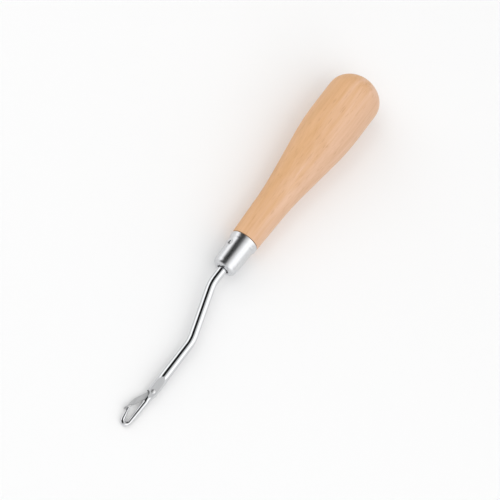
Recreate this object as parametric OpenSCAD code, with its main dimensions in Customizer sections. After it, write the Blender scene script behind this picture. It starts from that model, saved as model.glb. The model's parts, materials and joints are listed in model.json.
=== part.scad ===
// Latch hook with a turned wooden handle.
// Every piece is drawn along the tool's own axis: X runs from the butt to the hook, Y points to the side
// that the shank is cranked to, and the bend lies in the XY plane. The whole tool is then laid down on
// the plane Z = 0, where it rests on its belly and on the end of the hook.

/* [Tool] */
// Length from the butt to the outside of the hook's bend
tool_l = 158; // [150:1:170]
// Length of the handle with its ferrule
handle_l = 90; // [85:1:100]

/* [Handle] */
// Diameter of the belly
belly_d = 20; // [18:0.5:22]
// Distance from the butt to the end of the straight part of the belly
belly_at = 20; // [16:0.5:24]
// Radius of the long curve that leaves the belly
belly_r = 90; // [60:5:120]
// Radius of the dome at the butt
butt_r = 11; // [10.5:0.5:14]
// Radius of the shoulder between the dome and the belly
shoulder_r = 8; // [6:0.5:9]
// Distance from the butt to the narrowing of the throat
throat_at = 55.5; // [52:0.5:60]
// Radius of the hollow curve at the throat
throat_r = 130; // [60:5:150]
// Diameter of the neck where it meets the ferrule
neck_d = 10.7; // [10:0.1:11]
// Angle at which the neck tapers towards the ferrule
neck_angle = 2; // [0.5:0.5:3]
// Length of the spigot that carries the ferrule
spigot_l = 10.4; // [8:0.2:11]

/* [Ferrule] */
// Length of the ferrule
ferrule_l = 13.6; // [13:0.2:16]
// Outer diameter of the rolled mouth
mouth_d = 10.7; // [10.4:0.1:11]
// Length of the rolled mouth
mouth_l = 1.2; // [0.8:0.1:2]
// Length over which the mouth narrows to the body
flare_l = 1.5; // [1:0.1:2.5]
// Outer diameter of the body behind the mouth
body_d = 9.65; // [9.4:0.05:9.9]
// Outer diameter of the body at the nose
nose_d = 9.2; // [9:0.1:9.4]
// Radius of the rounded nose
nose_r = 2.2; // [1.6:0.1:2.4]
// Diameter of the bore that takes the spigot
bore_d = 8; // [7.6:0.1:8.2]
// Thickness of the front wall
front_wall = 0.6; // [0.4:0.1:0.8]
// Diameter of the hole that the shank leaves by
hole_d = 4.3; // [4:0.1:4.6]
// Distance from the mouth to the punch mark
punch_at = 4.6; // [4:0.2:6]
// Angle of the punch mark from the top, away from the crank
punch_turn = 54; // [40:2:70]
// Radius of the punch's round nose
punch_r = 1.3; // [1:0.1:1.6]
// Depth of the punch mark
punch_depth = 0.6; // [0.4:0.1:0.7]

/* [Shank] */
// Diameter of the rod
shank_d = 3.5; // [3.2:0.1:3.8]
// Distance from the nose to the corner of the first bend
crank_at = 6.8; // [5:0.2:9]
// Angle of the cranked run
crank_angle = 17; // [15:1:22]
// Distance that the crank moves the head off the axis
crank_offset = 6.6; // [5.6:0.2:7.4]
// Radius of the first bend
bend_a_r = 12; // [8:1:16]
// Radius of the second bend
bend_b_r = 15; // [8:1:18]
// Length of the tang inside the handle
tang_l = 50; // [40:1:60]
// Length of the tang's point
tang_tip_l = 5; // [3:0.5:8]
// Width of the two wings that keep the tang from turning
wing_w = 4.8; // [4.2:0.2:5.4]
// Length of the wings
wing_l = 8; // [5:1:12]
// Thickness of the wings
wing_t = 1; // [0.8:0.1:1.4]

/* [Head] */
// Width of the flattened head, in the plane of the bend
head_w = 3.85; // [3.6:0.05:4.1]
// Thickness of the head between its two flats
head_t = 2.7; // [2.5:0.1:2.9]
// Distance from the rivet to the end of the hook's bend
rivet_reach = 16; // [15:0.5:18]
// Distance from the rivet back to the start of the flats
flats_back = 3.6; // [3:0.2:5]
// Radius at which the flats run out
flats_r = 8; // [5:1:12]
// Length of the taper from the head to the wire
head_taper_l = 4; // [3.4:0.2:5]
// Thickness of the hook's wire around the bend
wire_d = 1.56; // [1.4:0.04:1.64]
// Angle at which the wire's middle leans in, because its inner edge runs level while it thins
wire_lean = 1.6; // [1.2:0.2:2]
// Radius of the bend, to the middle of the wire
hook_r = 1.3; // [1.2:0.05:1.5]
// Angle at which the point stands away from the wire
point_angle = 10.2; // [8:0.2:13]
// Length of the straight part of the point
point_l = 4.3; // [3.8:0.1:4.8]
// Thickness of the point at its round end
point_d = 0.84; // [0.7:0.02:1]
// Depth of the step under the head
step_depth = 1.1; // [0.9:0.1:1.2]
// Radius of the step under the head
step_r = 1.5; // [1:0.1:2]

/* [Slot] */
// Radius of the saw that cuts the slot
saw_r = 7; // [6:0.2:8]
// Distance that the saw runs along the shank
saw_run = 4.6; // [4:0.2:6]
// Distance from the rivet to the floor of the slot
slot_depth = 1.4; // [1.3:0.05:1.5]

/* [Latch] */
// Angle of the closed latch from the line of the wire
latch_angle = 24.7; // [22:0.5:27]
// Distance from the rivet to the tip of the spoon
latch_l = 11.95; // [11.6:0.05:12.4]
// Width of the blade
blade_w = 1.8; // [1.5:0.1:2]
// Thickness of the blade
blade_t = 0.8; // [0.6:0.05:0.9]
// Diameter of the round eye at the rivet
eye_d = 2.3; // [2.1:0.1:2.5]
// Length of the spoon
spoon_l = 3.45; // [3:0.05:3.8]
// Width of the spoon
spoon_w = 2.1; // [1.8:0.1:2.2]
// Radius of the hollow in the spoon
spoon_r = 1.9; // [1.5:0.1:2.4]
// Thickness of the spoon's wall
spoon_wall = 0.3; // [0.2:0.05:0.4]
// Angle at which the spoon lifts towards the point
spoon_lift = 8; // [4:1:12]

/* [Rivet] */
// Diameter of the rivet
rivet_d = 0.9; // [0.7:0.05:1.1]
// Diameter of its heads
rivet_head_d = 1.6; // [1.3:0.1:2]
// Height of its heads
rivet_head_h = 0.2; // [0.1:0.05:0.3]

/* [Fits] */
// Gap between the wood and the mouth of the ferrule
seam_gap = 0.15; // [0.05:0.05:0.3]
// Clearance around the spigot
spigot_fit = 0.05; // [0.02:0.01:0.1]
// Clearance around the tang and its wings
tang_fit = 0.05; // [0.02:0.01:0.1]
// Clearance of the rivet in the two cheeks
cheek_fit = 0.02; // [0.01:0.01:0.05]
// Clearance of the rivet in the latch's eye
eye_fit = 0.05; // [0.02:0.01:0.08]
// Clearance of the blade on each side of the slot
slot_fit = 0.1; // [0.05:0.05:0.15]

/* [Hidden] */
$fn = 96;

wood_colour = [0.87, 0.70, 0.52];
chrome_colour = [0.80, 0.81, 0.83];
steel_colour = [0.68, 0.69, 0.71];

// Handle outline
belly_rad = belly_d / 2;
mouth_x = handle_l - ferrule_l;
seam_x = mouth_x - seam_gap;
dome_offset = sqrt(pow(butt_r - shoulder_r, 2) - pow(belly_rad - shoulder_r, 2));
shoulder_x = butt_r - dome_offset;
dome_end_x = butt_r - butt_r * dome_offset / (butt_r - shoulder_r);
throat_rad = neck_d / 2 + (seam_x - throat_at) * tan(neck_angle);
flank_angle = tangent_angle(throat_at - belly_at, throat_rad - belly_rad + belly_r, belly_r, 0);
flank_x = belly_at + belly_r * sin(flank_angle);
flank_rad = belly_rad - belly_r * (1 - cos(flank_angle));
throat_cut = throat_r * tan((flank_angle - neck_angle) / 2);
throat_x0 = throat_at - throat_cut * cos(flank_angle);
throat_rad0 = throat_rad + throat_cut * sin(flank_angle);
throat_x1 = throat_at + throat_cut * cos(neck_angle);
throat_rad1 = throat_rad - throat_cut * sin(neck_angle);

// Ferrule
nose_x = handle_l - nose_r;
punch_x = mouth_x + punch_at;
punch_taper = (punch_at - mouth_l - flare_l) / (nose_x - mouth_x - mouth_l - flare_l);
punch_centre = (body_d + (nose_d - body_d) * punch_taper) / 2 - punch_depth + punch_r;
punch_wall = (body_d - bore_d) / 2;

// Shank, from the corners of its two bends
corner_a_x = handle_l + crank_at;
corner_b_x = corner_a_x + crank_offset / tan(crank_angle);
bend_a_cut = bend_a_r * tan(crank_angle / 2);
bend_b_cut = bend_b_r * tan(crank_angle / 2);
run_l = crank_offset / sin(crank_angle) - bend_a_cut - bend_b_cut;
tang_x = handle_l - tang_l;
wing_x = tang_x + tang_tip_l + wing_l;

// Head and hook
rivet_x = tool_l - rivet_reach;
head_x = rivet_x + head_w / 10;
bend_x = tool_l - hook_r - wire_d / 2;
wire_l = bend_x - head_x - head_taper_l / 2;
wire_root_d = wire_d + 2 * wire_l * tan(wire_lean);
wire_edge_y = crank_offset - head_w / 2 + step_depth;
bend_y = wire_edge_y + wire_d / 2 - hook_r;
flats_x = rivet_x - flats_back;
taper_end_d = wire_root_d * 0.92;
step_x = head_x + step_r;
step_y = wire_edge_y + wire_root_d / 8;
cut_margin = 2;

// Where two stretches of the rod meet, one starts inside the other and is a hair thinner
lap_step = 0.02;
lap_angle = 1.5;
lap_l = 0.5;

// Slot
slot_w = blade_t + 2 * slot_fit;
saw_y = crank_offset + slot_depth - saw_r;
saw_x = rivet_x - 0.3;

// Latch, in its own frame: the rivet at the origin, the blade along +X, the hook's side at +Y
spoon_x1 = latch_l - spoon_w / 2;
spoon_x0 = latch_l - spoon_l + spoon_w / 2;
spoon_back_x = spoon_x0 - spoon_w / 2;
spoon_floor_y = -0.35;
spoon_y = spoon_floor_y + spoon_r + spoon_wall;

// Lying down: the plane touches the belly's long curve and the end of the hook's wire
lie_angle = tangent_angle(tool_l - wire_d / 2 - belly_at, belly_r - belly_rad, belly_r, wire_d / 2);
lie_height = belly_at * sin(lie_angle) + (belly_rad - belly_r) * cos(lie_angle) + belly_r;
lie_back = -butt_r * (1 - cos(lie_angle));
lie_front = (tool_l - wire_d / 2) * cos(lie_angle) + wire_d / 2;
lie_middle = (lie_back + lie_front) / 2;

// Angle below the axis of the line that touches two circles, the first of radius ra and, dx further on
// and dr further out, the second of radius rb
function tangent_angle(dx, dr, ra, rb) = asin((ra - rb) / norm([dx, dr])) - atan2(dr, dx);

module lying() {
    translate([-lie_middle, 0, lie_height])
        rotate([0, lie_angle, 0])
            children();
}

// Turns what stands on Z to lie along X
module along_x(x = 0, y = 0, turn = 0) {
    translate([x, y, 0])
        rotate([0, 0, turn])
            rotate([0, 90, 0])
                children();
}

// A stretch of an outline between two stations, from the axis outwards
module stretch(x0, x1) {
    intersection() {
        translate([0, x0])
            square([belly_d, x1 - x0]);
        children();
    }
}

module handle_outline() {
    stretch(0, dome_end_x)
        translate([0, butt_r])
            circle(butt_r);
    stretch(dome_end_x, shoulder_x)
        translate([belly_rad - shoulder_r, shoulder_x])
            circle(shoulder_r);
    translate([0, shoulder_x])
        square([belly_rad, belly_at - shoulder_x]);
    stretch(belly_at, flank_x)
        translate([belly_rad - belly_r, belly_at])
            circle(belly_r);
    polygon([[0, flank_x], [flank_rad, flank_x], [throat_rad0, throat_x0], [0, throat_x0]]);
    difference() {
        polygon([[0, throat_x0], [throat_rad0, throat_x0], [throat_rad1, throat_x1], [0, throat_x1]]);
        translate([throat_rad0 + throat_r * cos(flank_angle), throat_x0 + throat_r * sin(flank_angle)])
            circle(throat_r);
    }
    polygon([[0, throat_x1], [throat_rad1, throat_x1], [neck_d / 2, seam_x], [0, seam_x]]);
    translate([0, seam_x])
        square([bore_d / 2 - spigot_fit, seam_gap + spigot_l]);
}

// The tang's own shape, grown by a clearance where it is cut out of the wood
module tang(fit, front_x) {
    along_x(tang_x)
        cylinder(h = tang_tip_l, d1 = shank_d / 4 + 2 * fit, d2 = shank_d + 2 * fit);
    along_x(tang_x + tang_tip_l)
        cylinder(h = front_x - tang_x - tang_tip_l, d = shank_d + 2 * fit);
}

module wings(fit, front_x) {
    translate([wing_x - fit, -wing_w / 2 - fit, -wing_t / 2 - fit])
        cube([front_x - wing_x + fit, wing_w + 2 * fit, wing_t + 2 * fit]);
}

// The round nose of the punch, at its place on the ferrule
module punch(radius) {
    rotate([punch_turn, 0, 0])
        translate([punch_x, 0, punch_centre])
            sphere(radius);
}

module handle() {
    spigot_end_x = mouth_x + spigot_l;
    color(wood_colour)
        lying()
            difference() {
                along_x()
                    rotate_extrude()
                        handle_outline();
                tang(tang_fit, spigot_end_x + cut_margin);
                wings(tang_fit, spigot_end_x + cut_margin);
                punch(punch_r + punch_wall + spigot_fit);
            }
}

module ferrule_outline() {
    flare_x = mouth_x + mouth_l;
    body_x = flare_x + flare_l;
    polygon([
        [0, mouth_x], [mouth_d / 2, mouth_x], [mouth_d / 2, flare_x], [body_d / 2, body_x],
        [nose_d / 2, nose_x], [0, nose_x]
    ]);
    stretch(nose_x, handle_l)
        translate([nose_d / 2 - nose_r, nose_x])
            circle(nose_r);
    translate([0, nose_x])
        square([nose_d / 2 - nose_r, nose_r]);
}

module ferrule_bore() {
    inner_r = nose_r - front_wall;
    translate([0, mouth_x - cut_margin])
        square([bore_d / 2, nose_x - mouth_x + cut_margin]);
    stretch(nose_x, handle_l - front_wall)
        translate([bore_d / 2 - inner_r, nose_x])
            circle(inner_r);
    translate([0, nose_x])
        square([bore_d / 2 - inner_r, inner_r]);
    translate([0, mouth_x])
        square([hole_d / 2, ferrule_l + cut_margin]);
}

module ferrule() {
    color(chrome_colour)
        lying()
            difference() {
                union() {
                    along_x()
                        rotate_extrude()
                            difference() {
                                ferrule_outline();
                                ferrule_bore();
                            }
                    intersection() {
                        along_x(mouth_x)
                            cylinder(h = ferrule_l - nose_r, d = body_d - punch_wall);
                        punch(punch_r + punch_wall);
                    }
                }
                punch(punch_r);
            }
}

// A bend of the rod, which comes in along X and turns towards +Y
module rod_bend(radius) {
    translate([0, radius, 0])
        rotate([0, 0, -90 - lap_angle])
            rotate_extrude(angle = crank_angle + 2 * lap_angle)
                translate([radius, 0])
                    circle(d = shank_d - lap_step);
}

// The frame in which the rod goes on behind a bend
module past_bend(radius, turn) {
    translate([0, radius, 0])
        rotate([0, 0, turn])
            translate([0, -radius, 0])
                children();
}

module shank() {
    tang(0, corner_a_x - bend_a_cut);
    wings(0, wing_x + wing_l);
    translate([corner_a_x - bend_a_cut, 0, 0]) {
        rod_bend(bend_a_r);
        past_bend(bend_a_r, crank_angle) {
            along_x()
                cylinder(h = run_l, d = shank_d);
            translate([run_l, 0, 0]) {
                mirror([0, 1, 0])
                    rod_bend(bend_b_r);
                past_bend(-bend_b_r, -crank_angle)
                    along_x()
                        cylinder(h = flats_x + lap_l - corner_b_x - bend_b_cut, d1 = shank_d, d2 = head_w - lap_step);
            }
        }
    }
}

module head_blank() {
    along_x(flats_x, crank_offset)
        cylinder(h = head_x - flats_x, d = head_w);
    along_x(head_x, crank_offset)
        cylinder(h = head_taper_l, d1 = head_w, d2 = taper_end_d);
}

// Everything outside the two flats, with the run-out at their back end
module flats() {
    for (side = [0, 1])
        mirror([0, 0, side])
            translate([0, crank_offset + head_w, 0])
                rotate([90, 0, 0])
                    linear_extrude(2 * head_w) {
                        translate([flats_x, head_t / 2 + flats_r])
                            circle(flats_r);
                        translate([flats_x, head_t / 2])
                            square([2 * head_taper_l, head_w]);
                    }
}

// The step under the head, where the wire leaves it
module step_cut() {
    translate([step_x, step_y - step_r, -head_w / 2])
        cylinder(h = head_w, r = step_r);
    translate([step_x, step_y - 2 * step_r, -head_w / 2])
        cube([2 * head_taper_l, 2 * step_r, head_w]);
}

module saw_slot() {
    for (x = [saw_x - saw_run, saw_x])
        translate([x, saw_y, -slot_w / 2])
            cylinder(h = slot_w, r = saw_r);
    translate([saw_x - saw_run, saw_y, -slot_w / 2])
        cube([saw_run, saw_r, slot_w]);
}

module wire() {
    translate([bend_x, bend_y, 0])
        rotate([0, 0, -wire_lean])
            along_x(-wire_l, hook_r)
                cylinder(h = wire_l, d1 = wire_root_d, d2 = wire_d + lap_step);
    translate([bend_x, bend_y, 0])
        rotate([0, 0, point_angle - 90]) {
            rotate_extrude(angle = 180 - point_angle - wire_lean + lap_angle)
                translate([hook_r, 0])
                    circle(d = wire_d);
            translate([hook_r, 0, 0])
                rotate([90, 0, 0]) {
                    cylinder(h = point_l, d1 = wire_d, d2 = point_d);
                    translate([0, 0, point_l])
                        sphere(d = point_d);
                }
        }
}

module hook() {
    color(chrome_colour)
        lying()
            difference() {
                union() {
                    shank();
                    difference() {
                        head_blank();
                        step_cut();
                    }
                    wire();
                }
                flats();
                saw_slot();
                translate([rivet_x, crank_offset, -head_w])
                    cylinder(h = 2 * head_w, d = rivet_d + 2 * cheek_fit);
            }
}

// The outer or the hollow form of the spoon, a rounded trough
module trough(radius) {
    translate([spoon_x0, spoon_y, 0])
        sphere(radius);
    translate([spoon_x1, spoon_y, 0])
        sphere(radius);
    along_x(spoon_x0, spoon_y)
        cylinder(h = spoon_x1 - spoon_x0, r = radius);
}

module spoon() {
    difference() {
        intersection() {
            trough(spoon_r + spoon_wall);
            translate([0, spoon_y, 0])
                rotate([90, 0, 0])
                    linear_extrude(spoon_r + 2 * spoon_wall) {
                        translate([spoon_x0, 0])
                            circle(d = spoon_w);
                        translate([spoon_x1, 0])
                            circle(d = spoon_w);
                        translate([spoon_x0, -spoon_w / 2])
                            square([spoon_x1 - spoon_x0, spoon_w]);
                    }
        }
        trough(spoon_r);
    }
}

module blade_outline() {
    circle(d = eye_d);
    polygon([
        [0, blade_w / 2], [spoon_back_x + 0.2, blade_w / 2], [spoon_back_x + 0.35, 0.1],
        [spoon_x0 - 0.2, spoon_floor_y + 0.1], [spoon_back_x - 1.4, -blade_w / 2], [0, -blade_w / 2]
    ]);
}

module latch() {
    color(steel_colour)
        lying()
            translate([rivet_x, crank_offset, 0])
                rotate([0, 0, -latch_angle])
                    difference() {
                        union() {
                            translate([0, 0, -blade_t / 2])
                                linear_extrude(blade_t)
                                    blade_outline();
                            translate([spoon_back_x, 0, 0])
                                rotate([0, 0, spoon_lift])
                                    translate([-spoon_back_x, 0, 0])
                                        spoon();
                        }
                        cylinder(h = 2 * blade_t, d = rivet_d + 2 * eye_fit, center = true);
                    }
}

module latch_rivet() {
    dome_r = (pow(rivet_head_d / 2, 2) + pow(rivet_head_h, 2)) / (2 * rivet_head_h);
    color(steel_colour)
        lying()
            translate([rivet_x, crank_offset, 0]) {
                cylinder(h = head_t, d = rivet_d, center = true);
                for (side = [0, 1])
                    mirror([0, 0, side])
                        intersection() {
                            translate([0, 0, head_t / 2 + rivet_head_h - dome_r])
                                sphere(dome_r);
                            translate([0, 0, head_t / 2])
                                cylinder(h = rivet_head_h, d = rivet_head_d);
                        }
            }
}

handle();
ferrule();
hook();
latch();
latch_rivet();
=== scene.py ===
"""Looks of the latch hook: turned wooden handle, satin ferrule, chromed hook, dull steel latch and rivet.

Pieces are shaped in the tool's own millimetres, X from the butt to the hook, and laid down by TOOL_TO_WORLD.
"""

import json
from math import acos, asin, atan2, cos, hypot, pi, radians, sin, sqrt, tan

import bmesh
import bpy
from mathutils import Matrix, Vector


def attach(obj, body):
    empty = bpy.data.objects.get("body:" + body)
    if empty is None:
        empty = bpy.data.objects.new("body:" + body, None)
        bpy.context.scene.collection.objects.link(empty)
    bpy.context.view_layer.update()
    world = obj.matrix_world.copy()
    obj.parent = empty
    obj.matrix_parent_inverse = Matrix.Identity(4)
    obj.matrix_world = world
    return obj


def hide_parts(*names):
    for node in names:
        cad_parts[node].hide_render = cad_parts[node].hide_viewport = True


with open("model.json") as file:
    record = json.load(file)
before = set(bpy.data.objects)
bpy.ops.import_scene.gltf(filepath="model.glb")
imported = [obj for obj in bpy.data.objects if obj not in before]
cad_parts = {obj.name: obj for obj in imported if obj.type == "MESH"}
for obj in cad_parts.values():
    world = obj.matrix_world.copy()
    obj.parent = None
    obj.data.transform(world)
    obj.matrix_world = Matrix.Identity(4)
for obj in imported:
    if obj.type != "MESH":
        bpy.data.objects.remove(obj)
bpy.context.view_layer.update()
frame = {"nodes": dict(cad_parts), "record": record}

# Driving sizes in millimetres, as in the part's source
MM = 0.001
TOOL_L = 158.0
HANDLE_L = 90.0
RIVET_REACH = 16.0
CRANK_OFFSET = 6.6
BELLY_R = 10.0
BELLY_AT = 20.0
BELLY_CURVE = 90.0
BUTT_R = 11.0
SHOULDER_R = 8.0
THROAT_AT = 55.5
THROAT_CURVE = 130.0
NECK_R = 5.35
NECK_ANGLE = radians(2)
SPIGOT_L = 10.4
SPIGOT_FIT = 0.05
SHANK_R = 1.75
TANG_L = 50.0
TANG_TIP_L = 5.0
TANG_FIT = 0.05
SEAM_GAP = 0.15
FERRULE_L = 13.6
MOUTH_R = 5.35
MOUTH_L = 1.2
FLARE_L = 1.5
BODY_R = 4.825
NOSE_R = 4.6
NOSE_ROUND = 2.2
BORE_R = 4.0
FRONT_WALL = 0.6
HOLE_R = 2.15
PUNCH_AT = 4.6
PUNCH_TURN = radians(54)
PUNCH_R = 1.3
PUNCH_DEPTH = 0.6

# Sizes that only the looks use, in millimetres
HANDLE_EDGE_R = 0.15
MOUTH_ROLL_R = 0.3
HOLE_LIP_R = 0.2
MERGE_GAP = 0.001

# Steps round the axis
HANDLE_STEPS = 128
FERRULE_STEPS = 224

RIVET_X = TOOL_L - RIVET_REACH
SPIGOT_R = BORE_R - SPIGOT_FIT
TANG_BORE_R = SHANK_R + TANG_FIT
TANG_TIP_R = TANG_BORE_R / 4
MOUTH_X = HANDLE_L - FERRULE_L
SEAM_X = MOUTH_X - SEAM_GAP
NOSE_X = HANDLE_L - NOSE_ROUND

# The latch's hinge stands square on the plane that the shank bends in, which gives the way the tool lies
latch_joint = frame["record"]["behaviour"]["joints"][0]
SQUARE = -Vector(latch_joint["axis"]).normalized()
CRANK_SIDE = Vector((0, 1, 0))
ALONG = CRANK_SIDE.cross(SQUARE).normalized()
PIVOT = Vector(latch_joint["pos_m"])
BUTT = PIVOT - ALONG * RIVET_X * MM - CRANK_SIDE * CRANK_OFFSET * MM
TURN = Matrix((ALONG, CRANK_SIDE, SQUARE)).transposed().to_4x4()
TOOL_TO_WORLD = Matrix.Translation(BUTT) @ TURN @ Matrix.Scale(MM, 4)
LIE_ANGLE = atan2(-ALONG.z, ALONG.x)


# Shapes

def arc(centre, radius, start, end, steps):
    """Points on an arc in the (x, r) plane, between two angles in radians."""
    turns = [start + (end - start) * i / steps for i in range(steps + 1)]
    return [(centre[0] + radius * cos(a), centre[1] + radius * sin(a)) for a in turns]


def line(start, end, steps):
    """Points from start to end, without start."""
    shares = [i / steps for i in range(1, steps + 1)]
    return [(start[0] + (end[0] - start[0]) * s, start[1] + (end[1] - start[1]) * s) for s in shares]


def tangent_angle(dx, dr, ra, rb):
    """Angle below the axis of the line that touches two circles."""
    return asin((ra - rb) / hypot(dx, dr)) - atan2(dr, dx)


def turned(outline, steps, closed=False):
    """A mesh turned on the tool's axis from an outline of (x, r) points."""
    bm = bmesh.new()
    ring = [bm.verts.new((x, 0, r)) for x, r in outline]
    pairs = list(zip(ring, ring[1:]))
    if closed:
        pairs.append((ring[-1], ring[0]))
    for a, b in pairs:
        bm.edges.new((a, b))
    bmesh.ops.spin(bm, geom=bm.verts[:] + bm.edges[:], cent=(0, 0, 0), axis=(1, 0, 0), angle=2 * pi,
                   steps=steps, use_merge=True)
    bmesh.ops.remove_doubles(bm, verts=bm.verts, dist=MERGE_GAP)
    bmesh.ops.recalc_face_normals(bm, faces=bm.faces)
    return bm


def placed(name, bm, body, node, sharp=radians(40)):
    """Lays the finished shape down as an object that stands for a node and rides on its body."""
    bmesh.ops.transform(bm, matrix=TOOL_TO_WORLD, verts=bm.verts)
    mesh = bpy.data.meshes.new(name)
    for face in bm.faces:
        face.smooth = True
    for edge in bm.edges:
        if len(edge.link_faces) == 2 and edge.calc_face_angle(0) > sharp:
            edge.smooth = False
    bm.to_mesh(mesh)
    bm.free()
    piece = bpy.data.objects.new(name, mesh)
    bpy.context.scene.collection.objects.link(piece)
    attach(piece, body)
    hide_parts(node)
    return piece


def handle_outline():
    """Butt dome, shoulder, belly, flank, throat and neck, then the spigot and the bore for the tang."""
    lift = BELLY_R - SHOULDER_R
    dome_offset = sqrt((BUTT_R - SHOULDER_R) ** 2 - lift ** 2)
    shoulder_x = BUTT_R - dome_offset
    dome_turn = acos(dome_offset / (BUTT_R - SHOULDER_R))
    throat_r = NECK_R + (SEAM_X - THROAT_AT) * tan(NECK_ANGLE)
    flank = tangent_angle(THROAT_AT - BELLY_AT, throat_r - BELLY_R + BELLY_CURVE, BELLY_CURVE, 0)
    cut = THROAT_CURVE * tan((flank - NECK_ANGLE) / 2)
    throat_x = THROAT_AT - cut * cos(flank)
    throat_top = throat_r + cut * sin(flank)
    hollow = (throat_x + THROAT_CURVE * sin(flank), throat_top + THROAT_CURVE * cos(flank))
    edge = HANDLE_EDGE_R
    spigot_end_x = MOUTH_X + SPIGOT_L
    tang_x = HANDLE_L - TANG_L
    return (
        arc((BUTT_R, 0), BUTT_R, pi, pi - dome_turn, steps=20)
        + arc((shoulder_x, lift), SHOULDER_R, pi - dome_turn, pi / 2, steps=16)[1:]
        + arc((BELLY_AT, BELLY_R - BELLY_CURVE), BELLY_CURVE, pi / 2, pi / 2 - flank, steps=24)
        + arc(hollow, THROAT_CURVE, -pi / 2 - flank, -pi / 2 - NECK_ANGLE, steps=20)
        + arc((SEAM_X - edge, NECK_R - edge), edge, pi / 2 - NECK_ANGLE, 0, steps=4)
        + [(SEAM_X, SPIGOT_R), (spigot_end_x, SPIGOT_R), (spigot_end_x, TANG_BORE_R)]
        + [(tang_x + TANG_TIP_L, TANG_BORE_R), (tang_x, TANG_TIP_R), (tang_x, 0)]
    )


def ferrule_outline():
    """Rolled mouth, flare, body and rounded nose outside; hole, front wall and bore inside."""
    roll = MOUTH_ROLL_R
    lip = HOLE_LIP_R
    flare_x = MOUTH_X + MOUTH_L
    body_x = flare_x + FLARE_L
    inner = NOSE_ROUND - FRONT_WALL
    flare_steps = 12
    shares = [i / flare_steps for i in range(1, flare_steps + 1)]
    flare = [(flare_x + FLARE_L * s, MOUTH_R + (BODY_R - MOUTH_R) * (1 - cos(pi * s)) / 2) for s in shares]
    return (
        arc((MOUTH_X + roll, MOUTH_R - roll), roll, pi, pi / 2, steps=6)
        + line((MOUTH_X + roll, MOUTH_R), (flare_x, MOUTH_R), steps=4)
        + flare
        + line((body_x, BODY_R), (NOSE_X, NOSE_R), steps=70)
        + arc((NOSE_X, NOSE_R - NOSE_ROUND), NOSE_ROUND, pi / 2, 0, steps=20)[1:]
        + arc((HANDLE_L - lip, HOLE_R + lip), lip, 0, -pi / 2, steps=5)
        + [(HANDLE_L - FRONT_WALL, HOLE_R)]
        + arc((NOSE_X, BORE_R - inner), inner, 0, pi / 2, steps=8)
        + [(MOUTH_X, BORE_R)]
    )


def press_punch_mark(bm):
    """Pushes the ferrule's outer wall in where the punch's round nose went, then softens the rim."""
    bore_margin = 0.1
    rim_share = 1.3
    softenings = 3
    out = Vector((0, -sin(PUNCH_TURN), cos(PUNCH_TURN)))
    body_start = MOUTH_L + FLARE_L
    share = (PUNCH_AT - body_start) / (NOSE_X - MOUTH_X - body_start)
    surface_r = BODY_R + (NOSE_R - BODY_R) * share
    centre = Vector((MOUTH_X + PUNCH_AT, 0, 0)) + out * (surface_r - PUNCH_DEPTH + PUNCH_R)
    near = []
    for vert in bm.verts:
        away = vert.co - centre
        height = away.dot(out)
        side = (away - out * height).length
        outside = hypot(vert.co.y, vert.co.z) > BORE_R + bore_margin and vert.co.dot(out) > 0
        if outside and side < PUNCH_R * rim_share:
            near.append(vert)
        if outside and side < PUNCH_R:
            depth = -sqrt(PUNCH_R ** 2 - side ** 2)
            vert.co += out * min(depth - height, 0)
    for _ in range(softenings):
        bmesh.ops.smooth_vert(bm, verts=near, factor=0.5, use_axis_x=True, use_axis_y=True, use_axis_z=True)


# Materials

def node(tree, kind, **values):
    """A new node whose sockets, or settings where it has no such socket, take the values."""
    made = tree.nodes.new(kind)
    for key, value in values.items():
        if key in made.inputs:
            made.inputs[key].default_value = value
        else:
            setattr(made, key, value)
    return made


def ramp(tree, source, stops):
    """A colour ramp over source, with stops of (place, colour)."""
    made = tree.nodes.new("ShaderNodeValToRGB")
    elements = made.color_ramp.elements
    elements[0].position, elements[0].color = stops[0][0], (*stops[0][1], 1)
    elements[1].position, elements[1].color = stops[-1][0], (*stops[-1][1], 1)
    for place, colour in stops[1:-1]:
        elements.new(place).color = (*colour, 1)
    tree.links.new(source, made.inputs["Fac"])
    return made.outputs["Color"]


def mixed(tree, share, first, second, blend="MIX"):
    """Two colours mixed by a share; each of the three is a value or another node's output."""
    made = tree.nodes.new("ShaderNodeMix")
    made.data_type = "RGBA"
    made.blend_type = blend
    for socket, value in ((made.inputs[0], share), (made.inputs[6], first), (made.inputs[7], second)):
        if isinstance(value, bpy.types.NodeSocket):
            tree.links.new(value, socket)
        else:
            socket.default_value = value
    return made.outputs[2]


def scaled_about_middle(tree, source, scale, middle):
    """The source times a scale, plus a middle that is a value or another node's output."""
    made = node(tree, "ShaderNodeMath", operation="MULTIPLY_ADD")
    tree.links.new(source, made.inputs[0])
    made.inputs[1].default_value = scale
    if isinstance(middle, bpy.types.NodeSocket):
        tree.links.new(middle, made.inputs[2])
    else:
        made.inputs[2].default_value = middle
    return made.outputs["Value"]


def tool_place(tree, scale=(1, 1, 1)):
    """Object coordinates turned so that X runs along the tool, with a scale for stretching a pattern."""
    coords = tree.nodes.new("ShaderNodeTexCoord")
    turned_back = tree.nodes.new("ShaderNodeMapping")
    turned_back.inputs["Rotation"].default_value = (0, -LIE_ANGLE, 0)
    stretch = tree.nodes.new("ShaderNodeMapping")
    stretch.inputs["Scale"].default_value = scale
    tree.links.new(coords.outputs["Object"], turned_back.inputs["Vector"])
    tree.links.new(turned_back.outputs["Vector"], stretch.inputs["Vector"])
    return stretch.outputs["Vector"]


def noise(tree, place, scale, detail, rough):
    """Smooth noise over a place."""
    made = node(tree, "ShaderNodeTexNoise", Scale=scale, Detail=detail, Roughness=rough)
    tree.links.new(place, made.inputs["Vector"])
    return made.outputs["Fac"]


def bumped(tree, height, strength, distance):
    """A normal that follows a height, with its distance in metres."""
    made = node(tree, "ShaderNodeBump", Strength=strength, Distance=distance)
    tree.links.new(height, made.inputs["Height"])
    return made.outputs["Normal"]


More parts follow.
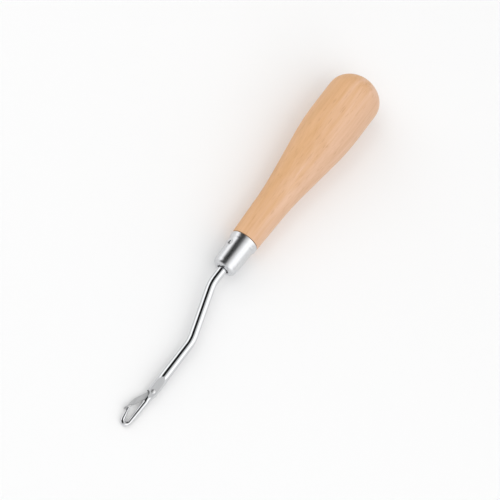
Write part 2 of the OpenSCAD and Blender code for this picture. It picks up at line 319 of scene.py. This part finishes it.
def new_material(name, **values):
    """A material with its node tree and its shader, whose sockets take the values."""
    material = bpy.data.materials.new(name)
    material.use_nodes = True
    tree = material.node_tree
    shader = tree.nodes["Principled BSDF"]
    for key, value in values.items():
        shader.inputs[key.replace("_", " ")].default_value = value
    return material, tree, shader


def turned_wood():
    """Pale close-grained wood: warm streaks along the handle, fine flecks, and painted light and shade:
    lighter towards +Y, redder and darker towards −Y.
    """
    painted_light_change_per_m = 55.0
    material, tree, shader = new_material("turned_wood", Roughness=0.5)
    streaks = noise(tree, tool_place(tree, (9, 120, 120)), 3.0, 4.0, 0.55)
    fibres = noise(tree, tool_place(tree, (30, 900, 900)), 2.0, 3.0, 0.6)
    flecks = noise(tree, tool_place(tree, (220, 1500, 1500)), 1.0, 2.0, 0.5)
    split = tree.nodes.new("ShaderNodeSeparateXYZ")
    tree.links.new(tool_place(tree), split.inputs["Vector"])
    # Painted light and shade: the handle's colour shifts from a redder, darker shaded side at −Y to a
    # lighter lit side at +Y
    side = scaled_about_middle(tree, split.outputs["Y"], painted_light_change_per_m, streaks)
    painted_light_share = ramp(tree, side, [(0.25, (0, 0, 0)), (0.75, (1, 1, 1))])
    # The wood's streak colours as the painted shaded side, then the same streaks lightened as the painted
    # lit side
    warm = ramp(tree, streaks, [(0.3, (0.71, 0.405, 0.195)), (0.7, (0.79, 0.465, 0.245))])
    painted_lit_side_wood = ramp(tree, streaks, [(0.3, (0.72, 0.44, 0.27)), (0.7, (0.80, 0.515, 0.35))])
    base = mixed(tree, painted_light_share, warm, painted_lit_side_wood)
    fibre_tint = ramp(tree, fibres, [(0.3, (0.95, 0.93, 0.91)), (0.6, (1, 1, 1))])
    base = mixed(tree, 1.0, base, fibre_tint, "MULTIPLY")
    fleck_tint = ramp(tree, flecks, [(0.30, (0.80, 0.72, 0.64)), (0.38, (1, 1, 1))])
    base = mixed(tree, 0.5, base, fleck_tint, "MULTIPLY")
    tree.links.new(base, shader.inputs["Base Color"])
    sheen = ramp(tree, fibres, [(0.3, (0.56, 0.56, 0.56)), (0.7, (0.42, 0.42, 0.42))])
    tree.links.new(sheen, shader.inputs["Roughness"])
    tree.links.new(bumped(tree, fibres, 0.12, 0.0001), shader.inputs["Normal"])
    return material


def marked_metal(name, marks_stretch, marks_scale, tints, glosses, bump):
    """Metal whose tint and gloss change with faint marks along the tool, each between two values."""
    material, tree, shader = new_material(name, Metallic=1.0)
    marks = noise(tree, tool_place(tree, marks_stretch), marks_scale, 3.0, 0.6)
    tint = ramp(tree, marks, [(0.3, tints[0]), (0.7, tints[1])])
    gloss = ramp(tree, marks, [(0.3, (glosses[0],) * 3), (0.7, (glosses[1],) * 3)])
    tree.links.new(tint, shader.inputs["Base Color"])
    tree.links.new(gloss, shader.inputs["Roughness"])
    tree.links.new(bumped(tree, marks, *bump), shader.inputs["Normal"])
    return material


def bright_chrome():
    """Polished plating with faint wipe marks."""
    tints = ((0.62, 0.63, 0.65), (0.68, 0.685, 0.69))
    return marked_metal("bright_chrome", (60, 500, 500), 2.0, tints, (0.06, 0.11), (0.03, 0.0001))


def satin_nickel():
    """The ferrule's softer plating."""
    tints = ((0.62, 0.63, 0.65), (0.70, 0.705, 0.71))
    return marked_metal("satin_nickel", (60, 500, 500), 2.0, tints, (0.26, 0.34), (0.03, 0.0001))


def stamped_steel():
    """Dull steel with fine marks along the blade."""
    tints = ((0.62, 0.625, 0.63), (0.76, 0.765, 0.77))
    return marked_metal("stamped_steel", (300, 2500, 2500), 1.0, tints, (0.38, 0.50), (0.08, 0.00005))


def table_top():
    """Matt near-white."""
    return new_material("table_top", Roughness=0.9, Base_Color=(0.93, 0.93, 0.93, 1))[0]


def give(piece, material):
    """Makes the material the piece's only one."""
    piece.data.materials.clear()
    piece.data.materials.append(material)


# Studio

def studio_world():
    """For metal, a dark and a bright side with grey between; even light for the rest; a pale backdrop."""
    even_light = 0.57
    backdrop = 0.95
    world = bpy.data.worlds.new("studio")
    bpy.context.scene.world = world
    world.use_nodes = True
    tree = world.node_tree
    background = tree.nodes["Background"]
    coords = tree.nodes.new("ShaderNodeTexCoord")
    split = tree.nodes.new("ShaderNodeSeparateXYZ")
    tree.links.new(coords.outputs["Generated"], split.inputs["Vector"])
    across = scaled_about_middle(tree, split.outputs["Y"], 0.5, 0.5)
    grey, white, dark = (0.8,) * 3, (1.6,) * 3, (0.02,) * 3
    sky = ramp(tree, across, [
        (0.02, white), (0.06, white), (0.11, dark), (0.40, dark), (0.49, grey), (0.60, grey),
        (0.70, white), (0.93, white), (0.97, grey),
    ])
    path = tree.nodes.new("ShaderNodeLightPath")
    even = mixed(tree, path.outputs["Is Diffuse Ray"], sky, (even_light, even_light, even_light, 1))
    seen = mixed(tree, path.outputs["Is Camera Ray"], even, (backdrop, backdrop, backdrop, 1))
    tree.links.new(seen, background.inputs["Color"])
    background.inputs["Strength"].default_value = 1.0


def soft_lamp(name, place, size, power):
    """A square lamp that faces the origin and isn't mirrored in the metal."""
    lamp = bpy.data.lights.new(name, "AREA")
    lamp.size = size
    lamp.energy = power
    made = bpy.data.objects.new(name, lamp)
    made.location = place
    made.rotation_euler = (-Vector(place)).to_track_quat("-Z", "Y").to_euler()
    made.visible_glossy = False
    bpy.context.scene.collection.objects.link(made)


def photo_camera():
    """Looks down on the tool, leaning towards the hook end, rolled as in the photograph."""
    lean = radians(21)
    stand_off = 1.9
    view_width = 0.17556
    roll_across, roll_up = -0.60729, 0.79448
    aim_along, aim_seen, aim_side = 0.079, 0.001011, 0.003485
    to_camera = ALONG * sin(lean) + SQUARE * cos(lean)
    seen_along = ALONG * cos(lean) - SQUARE * sin(lean)
    right = seen_along * roll_across + CRANK_SIDE * roll_up
    up = -(seen_along * roll_up - CRANK_SIDE * roll_across)
    target = BUTT + ALONG * aim_along - seen_along * aim_seen + CRANK_SIDE * aim_side
    data = bpy.data.cameras.new("photo_camera")
    data.sensor_width = 36.0
    data.lens = data.sensor_width * stand_off / view_width
    data.clip_start = 0.01
    camera = bpy.data.objects.new("photo_camera", data)
    turn = Matrix((right, up, to_camera)).transposed().to_4x4()
    camera.matrix_world = Matrix.Translation(target + to_camera * stand_off) @ turn
    bpy.context.scene.collection.objects.link(camera)
    bpy.context.scene.camera = camera


def table():
    """The floor, a tenth of a millimetre below the tool."""
    half_width = 3.0
    drop = 0.0001
    bm = bmesh.new()
    bmesh.ops.create_grid(bm, x_segments=1, y_segments=1, size=half_width)
    bmesh.ops.translate(bm, verts=bm.verts, vec=(0, 0, -drop))
    mesh = bpy.data.meshes.new("table")
    bm.to_mesh(mesh)
    bm.free()
    floor = bpy.data.objects.new("table", mesh)
    bpy.context.scene.collection.objects.link(floor)
    give(floor, table_top())


# Making

wood = turned_wood()
chrome = bright_chrome()
nickel = satin_nickel()
steel = stamped_steel()

handle = placed("turned_handle", turned(handle_outline(), HANDLE_STEPS), "tool", "handle")
give(handle, wood)

cap = turned(ferrule_outline(), FERRULE_STEPS, closed=True)
press_punch_mark(cap)
ferrule = placed("ferrule_cap", cap, "tool", "ferrule")
give(ferrule, nickel)

give(frame["nodes"]["hook"], chrome)
give(frame["nodes"]["latch"], steel)
give(frame["nodes"]["latch_rivet"], steel)

studio_world()
soft_lamp("key", place=(0.15, 0.75, 0.85), size=1.0, power=2.9)
soft_lamp("fill", place=(-0.1, -0.75, 0.85), size=1.0, power=3.1)
soft_lamp("top", place=(0.3, 0.0, 1.2), size=1.2, power=2.9)
table()
photo_camera()
bpy.context.scene.view_settings.view_transform = "Standard"
